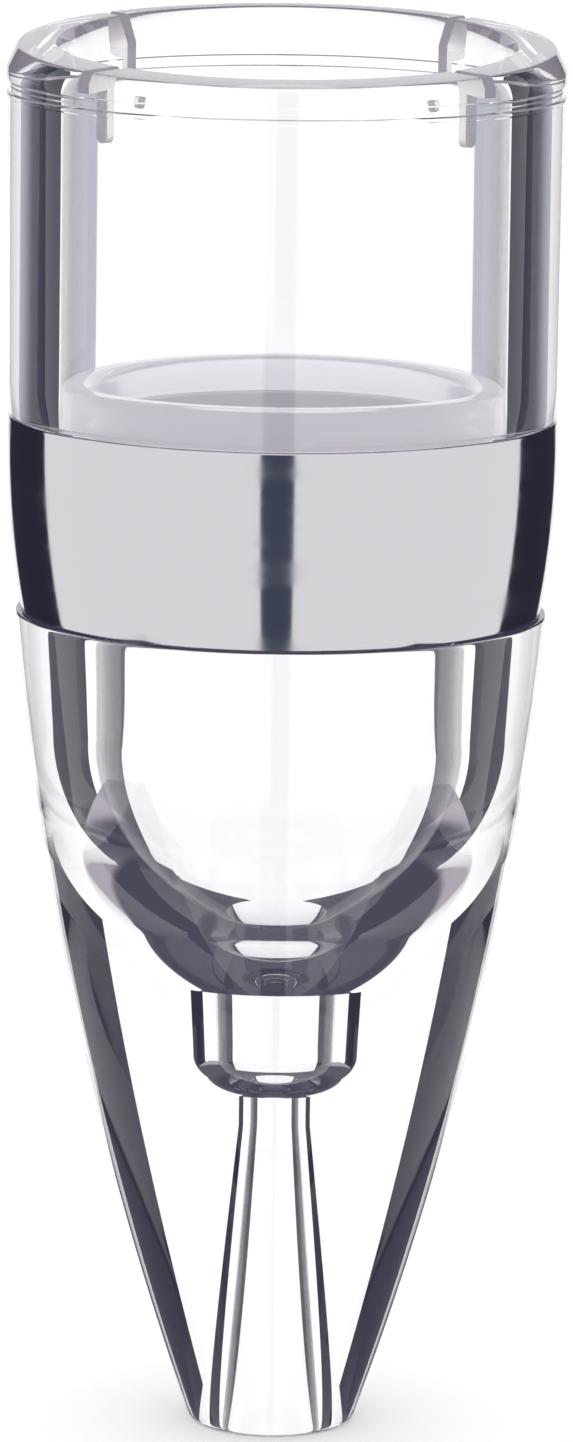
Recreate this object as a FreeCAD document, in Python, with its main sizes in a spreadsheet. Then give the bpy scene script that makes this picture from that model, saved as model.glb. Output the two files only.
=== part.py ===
import FreeCAD, Part
import math
import os
import Sketcher

# Wine aerator that is held over a glass: a clear cup, a polished band round its waist, a coupling
# sleeve inside the waist, and a thick clear lower body that funnels the wine through a narrow throat.
# It stands upright on its outlet tip. +Z is up, the origin lies on the axis in the plane of the tip,
# -Y is the side seen in front, and all lengths are in millimetres.

# Every size is written once. Radii and heights that depend on each other are sums of these names.
SIZES = {
    # clear cup
    "cup_bore_radius": (22.0, "bore of the cup and of the counterbore that takes the sleeve"),
    "cup_wall": (5.1, "wall of the cup at its foot"),
    "foot_flare": (0.2, "growth of the cup's outside over its foot"),
    "foot_flare_height": (3.45, "height of the flared foot"),
    "wall_draft": (0.07, "further growth of the outside up to the lip line"),
    "wall_height": (27.8, "from the flared foot to the lip line"),
    "lip_overhang": (0.13, "how far the lip line and the rim stand out from the wall"),
    "lip_slope": (0.15, "height over which the outside steps in or out at the lip and the rim"),
    "lip_height": (0.35, "height of the fine lip line"),
    "rim_recess_depth": (0.2, "depth of the recess between the lip line and the rim"),
    "rim_recess_height": (0.95, "height of that recess"),
    "rim_face_height": (1.29, "height of the upright face of the rim"),
    "crest_front": (0.58, "height of the slanted top over the rim's edge, at the front"),
    "crest_back": (4.04, "height of the slanted top over the rim's edge, at the back"),
    "crest_spare": (0.5, "height of the turned crest that the slanted cut takes off at the back"),
    "outer_flank_run": (2.2, "how far the outer flank of the crest leans in"),
    "inner_flank_run": (1.7, "how far the inner flank of the crest leans out"),
    "bore_edge_rise": (0.66, "height of the bore's top edge over the rim's edge"),
    "slot_width": (1.2, "width of a slot in the cup"),
    "slot_depth": (1.4, "depth of a slot into the wall of the bore"),
    "slot_height": (5.84, "how far a slot's round end reaches below the rim's edge"),
    "notch_width": (1.4, "width of the notch that takes a slot over the rim"),
    "notch_height": (0.9, "how far the notch over the rim reaches below the rim's edge"),
    "slot_count": (4, "slots round the cup"),
    "slot_turn": (45.0, "turn of the first slot from the front, in degrees"),
    # clear lower body
    "neck_wall": (2.9, "wall of the neck round the sleeve"),
    "neck_length": (19.47, "height of the neck over the shoulder"),
    "shoulder_width": (1.43, "ledge that carries the band"),
    "body_length": (82.93, "height of the shoulder over the tip"),
    "flank_swell": (2.635, "bulge of the outside between tip and shoulder"),
    "shoulder_rounding": (0.25, "rounding of the shoulder's outer edge"),
    "tip_wall": (3.41, "wall round the outlet at the tip"),
    "tip_rounding": (0.6, "rounding of the tip's outer edge"),
    "outlet_radius": (4.8, "mouth of the outlet tube at the tip"),
    "outlet_rounding": (0.3, "rounding of the outlet's edge"),
    "throat_radius": (2.45, "narrowest bore"),
    "throat_top": (36.2, "height of the throat's upper end over the tip"),
    "throat_length": (3.0, "straight length of the throat"),
    "chamber_floor_radius": (5.75, "bore of the mixing chamber above its rounded floor"),
    "chamber_floor_height": (4.3, "height of the rounded floor"),
    "chamber_floor_bulge": (1.0, "roundness of the floor"),
    "chamber_flare": (0.25, "growth of the chamber up to its mouth"),
    "chamber_length": (6.5, "height of the chamber over its floor"),
    "funnel_foot_run": (4.6, "growth of the funnel over its flaring foot"),
    "funnel_foot_height": (7.0, "height of that foot"),
    "funnel_foot_bulge": (0.35, "bulge of the foot towards the axis"),
    "funnel_height": (18.0, "height of the rounded funnel"),
    "funnel_bulge": (1.6, "roundness of the funnel"),
    "bore_draft": (0.6, "growth of the lower bore from the funnel up to the sleeve"),
    # sleeve and band
    "sleeve_clearance": (0.1, "gap round the sleeve"),
    "sleeve_wall": (3.7, "wall of the sleeve"),
    "sleeve_length": (16.25, "length of the sleeve"),
    "sleeve_depth": (12.4, "depth of the counterbore in the neck"),
    "sleeve_step": (0.5, "wider bore at the sleeve's upper end"),
    "sleeve_step_depth": (3.4, "depth of that wider bore"),
    "sleeve_rounding": (1.1, "rounding of the sleeve's upper inner edge"),
    "sleeve_bore_step": (0.4, "how much wider the lower bore is than the sleeve's"),
    "seat_gap": (0.05, "gap where one piece sits on another"),
    "foot_gap": (0.15, "gap between the neck's end and the cup's foot"),
    "band_clearance": (0.1, "gap between the band and the neck"),
    "band_step": (0.55, "how far the band's lower edge stands back from the shoulder's edge"),
    "band_proud": (0.08, "how far the band's upper edge stands out from the cup's foot"),
    "band_swell": (0.513, "bulge of the band between its edges"),
    "band_rounding": (0.25, "rounding of the band's outer edges"),
}

os.makedirs("parts", exist_ok=True)
doc = FreeCAD.newDocument("wine_aerator")
sheet = doc.addObject("Spreadsheet::Sheet", "sizes")
for row, (alias, (amount, meaning)) in enumerate(SIZES.items(), start=1):
    sheet.set("A%d" % row, alias)
    sheet.set("B%d" % row, str(amount))
    sheet.set("C%d" % row, meaning)
    sheet.setAlias("B%d" % row, alias)
doc.recompute()


def number(names):
    """Sum of the named sizes; a name that begins with a minus is taken off."""
    return sum(-SIZES[name[1:]][0] if name.startswith("-") else SIZES[name][0] for name in names)


def formula(names):
    """The same sum as an expression on the spreadsheet."""
    terms = ["- sizes." + name[1:] if name.startswith("-") else "+ sizes." + name for name in names]
    return "0 mm " + " ".join(term.replace(" sizes", " 1 mm * sizes") for term in terms)


def minus(names):
    """The sum with every sign turned round."""
    return tuple(name[1:] if name.startswith("-") else "-" + name for name in names)


# Radii and heights shared by pieces that meet
CUP_BORE = ("cup_bore_radius",)
CUP_FOOT = CUP_BORE + ("cup_wall",)
CUP_FLARE = CUP_FOOT + ("foot_flare",)
CUP_WALL = CUP_FLARE + ("wall_draft",)
RIM = CUP_WALL + ("lip_overhang",)
RIM_RECESS = RIM + ("-rim_recess_depth",)
NECK = CUP_BORE + ("neck_wall",)
SHOULDER = NECK + ("shoulder_width",)
SLEEVE_OUTSIDE = CUP_BORE + ("-sleeve_clearance",)
SLEEVE_BORE = SLEEVE_OUTSIDE + ("-sleeve_wall",)
LOWER_BORE = SLEEVE_BORE + ("sleeve_bore_step",)
FUNNEL_TOP = LOWER_BORE + ("-bore_draft",)
CHAMBER_FLOOR = ("chamber_floor_radius",)
CHAMBER_MOUTH = CHAMBER_FLOOR + ("chamber_flare",)
FUNNEL_FOOT = CHAMBER_MOUTH + ("funnel_foot_run",)
TIP = ("outlet_radius", "tip_wall")

SHOULDER_LEVEL = ("body_length",)
NECK_END = SHOULDER_LEVEL + ("neck_length",)
SLEEVE_SEAT = NECK_END + ("-sleeve_depth",)
CUP_FOOT_LEVEL = NECK_END + ("foot_gap",)
FLARE_LEVEL = CUP_FOOT_LEVEL + ("foot_flare_height",)
LIP_LEVEL = FLARE_LEVEL + ("wall_height",)
LIP_FOOT = LIP_LEVEL + ("lip_slope",)
LIP_END = LIP_FOOT + ("lip_height",)
RECESS_FOOT = LIP_END + ("lip_slope",)
RECESS_END = RECESS_FOOT + ("rim_recess_height",)
RIM_FOOT = RECESS_END + ("lip_slope",)
RIM_EDGE = RIM_FOOT + ("rim_face_height",)
CREST_TOP = RIM_EDGE + ("crest_back", "crest_spare")
BORE_EDGE = RIM_EDGE + ("bore_edge_rise",)
THROAT_TOP = ("throat_top",)
THROAT_FOOT = THROAT_TOP + ("-throat_length",)
CHAMBER_FLOOR_TOP = THROAT_TOP + ("chamber_floor_height",)
CHAMBER_TOP = CHAMBER_FLOOR_TOP + ("chamber_length",)
FUNNEL_FOOT_TOP = CHAMBER_TOP + ("funnel_foot_height",)
FUNNEL_END = FUNNEL_FOOT_TOP + ("funnel_height",)


def new_body(name):
    """An empty body whose label is the piece's name."""
    body = doc.addObject("PartDesign::Body", name)
    body.Label = name
    body.Placement = FreeCAD.Placement(FreeCAD.Vector(0, 0, 0), FreeCAD.Rotation(0, 0, 0))
    return body


def origin_item(body, role):
    """The body's own origin plane or axis with this role."""
    return next(item for item in body.Origin.OriginFeatures if item.Role == role)


def arc_through(first, last, bulge):
    """Arc from first to last; a positive bulge lies to the right of the way, a negative to the left."""
    side = math.copysign(1.0, bulge)
    sag = abs(bulge)
    way = last.sub(first)
    chord = way.Length
    radius = (chord * chord / 4.0 + sag * sag) / (2.0 * sag)
    right = FreeCAD.Vector(way.y / chord, -way.x / chord, 0)
    middle = first.add(last).multiply(0.5)
    centre = middle.sub(right * (side * (radius - sag)))
    begin = math.atan2(first.y - centre.y, first.x - centre.x)
    end = math.atan2(last.y - centre.y, last.x - centre.x)
    circle = Part.Circle(centre, FreeCAD.Vector(0, 0, 1), radius)
    if side > 0:
        return Part.ArcOfCircle(circle, begin, end)
    return Part.ArcOfCircle(circle, end, begin)


def radius_formula(first, last, bulge):
    """Radius of an arc from its chord and its bulge, as an expression."""
    across = "(%s - (%s))" % (formula(last[0]), formula(first[0]))
    along = "(%s - (%s))" % (formula(last[1]), formula(first[1]))
    sag = "sizes.%s * 1 mm" % bulge
    return "((%s ^ 2 + %s ^ 2) / 4 + (%s) ^ 2) / (2 * %s)" % (across, along, sag, sag)


def closed_profile(sketch, corners):
    """Draw a closed outline of straight and bulged sides and tie every corner to the named sizes.

    A corner is (names across, names up, bulge, side): the bulge is the name of the size that bows
    the line to the next corner, or None, and the side is 1 for right of the way and -1 for left.
    """
    points = [FreeCAD.Vector(number(across), number(up), 0) for across, up, bulge, side in corners]
    starts = []
    ends = []
    for index, (across, up, bulge, side) in enumerate(corners):
        first = points[index]
        last = points[(index + 1) % len(points)]
        if bulge is None:
            sketch.addGeometry(Part.LineSegment(first, last), False)
        else:
            sketch.addGeometry(arc_through(first, last, side * SIZES[bulge][0]), False)
        turned = bulge is not None and side < 0
        starts.append(2 if turned else 1)
        ends.append(1 if turned else 2)
    for index in range(len(corners)):
        following = (index + 1) % len(corners)
        sketch.addConstraint(
            Sketcher.Constraint("Coincident", index, ends[index], following, starts[following]))
    for index, (across, up, bulge, side) in enumerate(corners):
        if across:
            tie = Sketcher.Constraint("DistanceX", -1, 1, index, starts[index], points[index].x)
            number_of_tie = sketch.addConstraint(tie)
            sketch.setExpression("Constraints[%d]" % number_of_tie, formula(across))
        else:
            sketch.addConstraint(Sketcher.Constraint("PointOnObject", index, starts[index], -2))
        if up:
            tie = Sketcher.Constraint("DistanceY", -1, 1, index, starts[index], points[index].y)
            number_of_tie = sketch.addConstraint(tie)
            sketch.setExpression("Constraints[%d]" % number_of_tie, formula(up))
        else:
            sketch.addConstraint(Sketcher.Constraint("PointOnObject", index, starts[index], -1))
        if bulge is not None:
            arc = sketch.Geometry[index]
            tie = Sketcher.Constraint("Radius", index, arc.Radius)
            number_of_tie = sketch.addConstraint(tie)
            following = corners[(index + 1) % len(corners)]
            sketch.setExpression("Constraints[%d]" % number_of_tie,
                                 radius_formula((across, up), following, bulge))


def new_sketch(body, name, plane):
    """A sketch on one of the body's own origin planes."""
    sketch = body.newObject("Sketcher::SketchObject", name)
    sketch.AttachmentSupport = [(origin_item(body, plane), "")]
    sketch.MapMode = "FlatFace"
    return sketch


def turned(body, name, corners, kind="PartDesign::Revolution"):
    """Turn an outline of radii and heights once round the body's axis, as material or as a cut."""
    sketch = new_sketch(body, name + "_outline", "XZ_Plane")
    closed_profile(sketch, corners)
    doc.recompute()
    feature = body.newObject(kind, name)
    feature.Profile = sketch
    feature.ReferenceAxis = (origin_item(body, "Z_Axis"), [""])
    feature.Angle = 360
    body.Tip = feature
    doc.recompute()
    return feature


def ring_edges(feature, radius, level):
    """Names of the feature's full circles of this radius at this height."""
    found = []
    for index, edge in enumerate(feature.Shape.Edges, start=1):
        if isinstance(edge.Curve, Part.Circle) and edge.isClosed():
            right_size = abs(edge.Curve.Radius - radius) < 0.001
            if right_size and abs(edge.Curve.Center.z - level) < 0.001:
                found.append("Edge%d" % index)
    return found


def rounded(body, name, base, edges, size):
    """Round edges of the last feature by a named size."""
    fillet = body.newObject("PartDesign::Fillet", name)
    fillet.Base = (base, edges)
    fillet.Radius = SIZES[size][0]
    fillet.setExpression("Radius", "sizes.%s * 1 mm" % size)
    body.Tip = fillet
    doc.recompute()
    return fillet


def removed_volume(before, after):
    """Stop if a cut took nothing off."""
    taken = before.Shape.Volume - after.Shape.Volume
    if taken <= 0.001:
        raise RuntimeError("%s removes no material" % after.Label)
    return taken


# Lower body: a swelling spindle with a neck, bored out as funnel, mixing chamber, throat and outlet
lower_body = new_body("lower_body")
spindle = turned(lower_body, "spindle", [
    ((), (), None, 0),
    (TIP, (), "flank_swell", 1),
    (SHOULDER, SHOULDER_LEVEL, None, 0),
    (NECK, SHOULDER_LEVEL, None, 0),
    (NECK, NECK_END, None, 0),
    ((), NECK_END, None, 0),
])
passage = turned(lower_body, "passage", [
    ((), (), None, 0),
    (("outlet_radius",), (), None, 0),
    (("throat_radius",), THROAT_FOOT, None, 0),
    (("throat_radius",), THROAT_TOP, "chamber_floor_bulge", 1),
    (CHAMBER_FLOOR, CHAMBER_FLOOR_TOP, None, 0),
    (CHAMBER_MOUTH, CHAMBER_TOP, "funnel_foot_bulge", -1),
    (FUNNEL_FOOT, FUNNEL_FOOT_TOP, "funnel_bulge", 1),
    (FUNNEL_TOP, FUNNEL_END, None, 0),
    (LOWER_BORE, SLEEVE_SEAT, None, 0),
    (CUP_BORE, SLEEVE_SEAT, None, 0),
    (CUP_BORE, NECK_END, None, 0),
    ((), NECK_END, None, 0),
], "PartDesign::Groove")
removed_volume(spindle, passage)
tip_edge = ring_edges(passage, number(TIP), 0.0)
rounded_tip = rounded(lower_body, "rounded_tip", passage, tip_edge, "tip_rounding")
outlet_edge = ring_edges(rounded_tip, SIZES["outlet_radius"][0], 0.0)
rounded_outlet = rounded(lower_body, "rounded_outlet", rounded_tip, outlet_edge, "outlet_rounding")
shoulder_edge = ring_edges(rounded_outlet, number(SHOULDER), number(SHOULDER_LEVEL))
rounded(lower_body, "rounded_shoulder", rounded_outlet, shoulder_edge, "shoulder_rounding")

# Sleeve: couples the lower body to the cup and seals the joint behind the band
joint_sleeve = new_body("joint_sleeve")
SLEEVE_FOOT = SLEEVE_SEAT + ("seat_gap",)
SLEEVE_TOP = SLEEVE_FOOT + ("sleeve_length",)
SLEEVE_STEP = SLEEVE_TOP + ("-sleeve_step_depth",)
sleeve_tube = turned(joint_sleeve, "sleeve_tube", [
    (SLEEVE_BORE, SLEEVE_FOOT, None, 0),
    (SLEEVE_OUTSIDE, SLEEVE_FOOT, None, 0),
    (SLEEVE_OUTSIDE, SLEEVE_TOP, None, 0),
    (SLEEVE_BORE + ("sleeve_step",), SLEEVE_TOP, None, 0),
    (SLEEVE_BORE + ("sleeve_step",), SLEEVE_STEP, None, 0),
    (SLEEVE_BORE, SLEEVE_STEP, None, 0),
])
sleeve_edge = ring_edges(sleeve_tube, number(SLEEVE_BORE + ("sleeve_step",)), number(SLEEVE_TOP))
rounded(joint_sleeve, "rounded_sleeve_edge", sleeve_tube, sleeve_edge, "sleeve_rounding")

# Band: a polished ring that sits on the shoulder and hides the joint
metal_band = new_body("metal_band")
BAND_BORE = NECK + ("band_clearance",)
BAND_FOOT = SHOULDER + ("-band_step",)
BAND_HEAD = CUP_FOOT + ("band_proud",)
BAND_FOOT_LEVEL = SHOULDER_LEVEL + ("seat_gap",)
BAND_TOP_LEVEL = CUP_FOOT_LEVEL + ("-seat_gap",)
band_ring = turned(metal_band, "band_ring", [
    (BAND_BORE, BAND_FOOT_LEVEL, None, 0),
    (BAND_FOOT, BAND_FOOT_LEVEL, "band_swell", 1),
    (BAND_HEAD, BAND_TOP_LEVEL, None, 0),
    (BAND_BORE, BAND_TOP_LEVEL, None, 0),
])
band_edges = ring_edges(band_ring, number(BAND_FOOT), number(BAND_FOOT_LEVEL))
band_edges += ring_edges(band_ring, number(BAND_HEAD), number(BAND_TOP_LEVEL))
rounded(metal_band, "rounded_band", band_ring, band_edges, "band_rounding")

# Cup: a thick-walled tube with a fine lip line, a stepped rim and a crest that is cut on a slant
upper_cup = new_body("upper_cup")
cup_tube = turned(upper_cup, "cup_tube", [
    (CUP_BORE, CUP_FOOT_LEVEL, None, 0),
    (CUP_FOOT, CUP_FOOT_LEVEL, None, 0),
    (CUP_FLARE, FLARE_LEVEL, None, 0),
    (CUP_WALL, LIP_LEVEL, None, 0),
    (RIM, LIP_FOOT, None, 0),
    (RIM, LIP_END, None, 0),
    (RIM_RECESS, RECESS_FOOT, None, 0),
    (RIM_RECESS, RECESS_END, None, 0),
    (RIM, RIM_FOOT, None, 0),
    (RIM, RIM_EDGE, None, 0),
    (RIM + ("-outer_flank_run",), CREST_TOP, None, 0),
    (CUP_BORE + ("inner_flank_run",), CREST_TOP, None, 0),
    (CUP_BORE, BORE_EDGE, None, 0),
])


def through_cut(body, name, sketch, before):
    """Cut a sketch right through the body to both sides of its plane."""
    cut = body.newObject("PartDesign::Pocket", name)
    cut.Profile = sketch
    cut.Type = "ThroughAll"
    cut.Midplane = True
    body.Tip = cut
    doc.recompute()
    removed_volume(before, cut)
    return cut


# The slanted cut: front and back heights over the rim's edge, with the waste above it
slant_sketch = new_sketch(upper_cup, "slant_outline", "YZ_Plane")
front = RIM_EDGE + ("crest_front",)
back = RIM_EDGE + ("crest_back",)
waste_top = CREST_TOP + ("crest_spare",)
closed_profile(slant_sketch, [
    (minus(RIM + ("crest_spare",)), front, None, 0),
    (minus(RIM), front, None, 0),
    (RIM, back, None, 0),
    (RIM + ("crest_spare",), back, None, 0),
    (RIM + ("crest_spare",), waste_top, None, 0),
    (minus(RIM + ("crest_spare",)), waste_top, None, 0),
])
doc.recompute()
crest = through_cut(upper_cup, "slanted_top", slant_sketch, cup_tube)

# Slots: each runs down the bore with a round end and crosses the rim as a notch
def slot_sketch(name, width, depth_below_edge, round_end):
    """A slot's front view on a plane turned to the first slot: width across, height up."""
    sketch = new_sketch(upper_cup, name, "YZ_Plane")
    turn = FreeCAD.Rotation(FreeCAD.Vector(0, 1, 0), SIZES["slot_turn"][0])
    sketch.AttachmentOffset = FreeCAD.Placement(FreeCAD.Vector(0, 0, 0), turn)
    sketch.setExpression("AttachmentOffset.Rotation.Angle", "sizes.slot_turn * 1 deg")
    half = SIZES[width][0] / 2.0
    half_formula = "sizes.%s * 0.5 mm" % width
    top = number(CREST_TOP)
    low = number(RIM_EDGE) - SIZES[depth_below_edge][0]
    foot = low + half if round_end else low
    corners = [FreeCAD.Vector(half, foot, 0), FreeCAD.Vector(half, top, 0),
               FreeCAD.Vector(-half, top, 0), FreeCAD.Vector(-half, foot, 0)]
    for first, last in zip(corners[:3], corners[1:]):
        sketch.addGeometry(Part.LineSegment(first, last), False)
    if round_end:
        circle = Part.Circle(FreeCAD.Vector(0, foot, 0), FreeCAD.Vector(0, 0, 1), half)
        sketch.addGeometry(Part.ArcOfCircle(circle, math.pi, 2.0 * math.pi), False)
    else:
        sketch.addGeometry(Part.LineSegment(corners[3], corners[0]), False)
    for index in range(3):
        sketch.addConstraint(Sketcher.Constraint("Coincident", index, 2, index + 1, 1))
    sketch.addConstraint(Sketcher.Constraint("Coincident", 3, 2, 0, 1))
    sketch.addConstraint(Sketcher.Constraint("Vertical", 0))
    sketch.addConstraint(Sketcher.Constraint("Vertical", 2))
    right = sketch.addConstraint(Sketcher.Constraint("DistanceX", -1, 1, 0, 1, half))
    left = sketch.addConstraint(Sketcher.Constraint("DistanceX", 2, 2, -1, 1, half))
    sketch.setExpression("Constraints[%d]" % right, half_formula)
    sketch.setExpression("Constraints[%d]" % left, half_formula)
    for geometry, position in ((0, 2), (2, 1)):
        tie = Sketcher.Constraint("DistanceY", -1, 1, geometry, position, top)
        height = sketch.addConstraint(tie)
        sketch.setExpression("Constraints[%d]" % height, formula(CREST_TOP))
    floor = formula(RIM_EDGE + ("-" + depth_below_edge,))
    if round_end:
        floor = floor + " + " + half_formula
    for geometry, position in ((0, 1), (2, 2)):
        tie = Sketcher.Constraint("DistanceY", -1, 1, geometry, position, foot)
        height = sketch.addConstraint(tie)
        sketch.setExpression("Constraints[%d]" % height, floor)
    if round_end:
        height = sketch.addConstraint(Sketcher.Constraint("DistanceY", -1, 1, 3, 3, foot))
        sketch.setExpression("Constraints[%d]" % height, floor)
    doc.recompute()
    return sketch


def radial_cut(name, sketch, reach, before):
    """Cut a slot's view from the axis outwards as far as the named sum of sizes."""
    cut = upper_cup.newObject("PartDesign::Pocket", name)
    cut.Profile = sketch
    cut.Type = "Length"
    cut.Length = number(reach)
    cut.setExpression("Length", formula(reach))
    upper_cup.Tip = cut
    doc.recompute()
    removed_volume(before, cut)
    return cut


slot_view = slot_sketch("slot_outline", "slot_width", "slot_height", True)
slot = radial_cut("bore_slot", slot_view, CUP_BORE + ("slot_depth",), crest)
notch_view = slot_sketch("notch_outline", "notch_width", "notch_height", False)
notch = radial_cut("rim_notch", notch_view, RIM + ("crest_spare",), slot)
one_slot = removed_volume(crest, notch)
slots = upper_cup.newObject("PartDesign::PolarPattern", "slots")
slots.Originals = [slot, notch]
slots.Axis = (origin_item(upper_cup, "Z_Axis"), [""])
slots.Angle = 360
slots.Occurrences = int(SIZES["slot_count"][0])
slots.setExpression("Occurrences", "sizes.slot_count")
upper_cup.Tip = slots
doc.recompute()
if removed_volume(crest, slots) < one_slot * 1.5 and SIZES["slot_count"][0] > 1:
    raise RuntimeError("the slots were not repeated")

pieces = [upper_cup, joint_sleeve, metal_band, lower_body]
doc.recompute()
for item in doc.Objects:
    if "Invalid" in item.State or "Error" in item.State:
        raise RuntimeError("%s failed: %s" % (item.Label, item.State))
for piece in pieces:
    if piece.Shape.isNull() or not piece.Shape.isValid():
        raise RuntimeError("%s has no valid shape" % piece.Label)
    if len(piece.Shape.Solids) != 1:
        raise RuntimeError("%s isn't one solid" % piece.Label)
for piece in pieces:
    piece.Shape.exportStep("parts/%s.step" % piece.Label)
    box = piece.Shape.BoundBox
    print("%s volume %.1f from %.2f to %.2f, width %.2f" % (
        piece.Label, piece.Shape.Volume, box.ZMin, box.ZMax, box.XLength))
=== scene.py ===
"""Visual model of a clear wine aerator: cup, coupling sleeve, polished band and lower body.

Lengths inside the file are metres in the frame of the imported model: +Z up, origin on the axis in
the plane of the outlet tip, -Y towards the front. Sizes are stated in millimetres, mostly under
the names that the solids use, and every other radius and height is a sum of them. The pieces are
turned afresh with fine facets, because light bends through the clear ones and every coarse facet
would show.
"""

import math
from typing import NamedTuple

import bmesh
import bpy
import numpy as np
from bpy.props import BoolProperty, FloatProperty, FloatVectorProperty, IntProperty, PointerProperty
from mathutils import Matrix, Vector


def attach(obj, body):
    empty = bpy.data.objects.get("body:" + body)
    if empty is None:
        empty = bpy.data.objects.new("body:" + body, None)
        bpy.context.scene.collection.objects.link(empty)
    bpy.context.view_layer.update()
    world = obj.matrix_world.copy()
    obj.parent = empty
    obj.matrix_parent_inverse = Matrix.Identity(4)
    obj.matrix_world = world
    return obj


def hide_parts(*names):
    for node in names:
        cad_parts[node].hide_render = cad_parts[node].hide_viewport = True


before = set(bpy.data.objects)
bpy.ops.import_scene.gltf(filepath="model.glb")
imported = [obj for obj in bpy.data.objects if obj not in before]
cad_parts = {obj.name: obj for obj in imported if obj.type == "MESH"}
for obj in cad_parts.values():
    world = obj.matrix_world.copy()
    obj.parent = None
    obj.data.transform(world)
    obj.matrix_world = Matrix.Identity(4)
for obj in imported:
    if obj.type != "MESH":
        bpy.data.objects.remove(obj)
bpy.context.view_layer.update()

bl_info = {
    "name": "Wine aerator",
    "version": (1, 0, 0),
    "blender": (4, 5, 0),
    "location": "3D View > Sidebar > Aerator",
    "description": "Builds the clear wine aerator around its packed frame",
    "category": "Add Mesh",
}

MM = 0.001
FULL_TURN = 2.0 * math.pi
WHITE = (1.0, 1.0, 1.0, 1.0)

# Meshes: points closer than this are one point, shorter edges vanish, sharper folds stay sharp
MERGE_DISTANCE = 2e-7
THINNEST_EDGE = 1e-8
SHARP_ANGLE = math.radians(28.0)
SAME_FACE = 0.01 * MM

# The slots: how many, where the first one is, and the grid columns across each
SLOT_COUNT = 4
FIRST_SLOT = math.pi / 4.0
SLOT_COLUMNS = 9
# Plain columns keep clear of a slot by this share of its half width
SLOT_MARGIN = 1.15
# Faces up to this share of its half width belong to a slot
SLOT_REACH = 1.001
# Turn that puts two columns in one direction in their right order
SIDE_BY_SIDE = 1e-6

# Rows of the cup's grid on each rounding, and down the bore in millimetres below its edge
ROUNDING_ROWS = 9
BORE_ROWS = (0.0, 1.5, 3.0, 4.5, 5.5, 5.9)
# A rounding takes no more than this share of a flank's height
LARGEST_ROUNDING = 0.45

# Points on the roundings and the long arcs of the outlines
CUP_CORNER_POINTS = 4
SLEEVE_CORNER_POINTS = 7
BAND_CORNER_POINTS = 6
BODY_CORNER_POINTS = 6
BAND_FACE_POINTS = 40
FLANK_POINTS = 120
# Plain points closer to a corner than this many of its roundings are dropped
CROWDED = 1.6

# The camera stands in front, a little above the rim, and looks down on the object
CAMERA_PLACE = (0.0, -0.748, 0.211)
CAMERA_PITCH = math.radians(10.561)
CAMERA_YAW = math.radians(0.056)
CAMERA_ROLL = math.radians(0.706)
CAMERA_SENSOR = 36.0
CAMERA_NEAR = 0.01
CAMERA_FAR = 50.0
FLOOR_REACH = 3.0


def length(name, description, millimetres):
    """A length property that is stated in millimetres and kept in metres."""
    return FloatProperty(name=name, description=description, default=millimetres * MM, min=0.0,
                         unit="LENGTH", precision=5)


def colour(name, description, value):
    """A colour property in linear light."""
    return FloatVectorProperty(name=name, description=description, default=value, size=len(value),
                               subtype="COLOR", min=0.0, max=1.0)


def total(*names):
    """A read-only size that is the sum of others; a name that begins with a minus is taken off."""
    def value(sizes):
        return sum(-getattr(sizes, name[1:]) if name.startswith("-") else getattr(sizes, name)
                   for name in names)
    return property(value)


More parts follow.
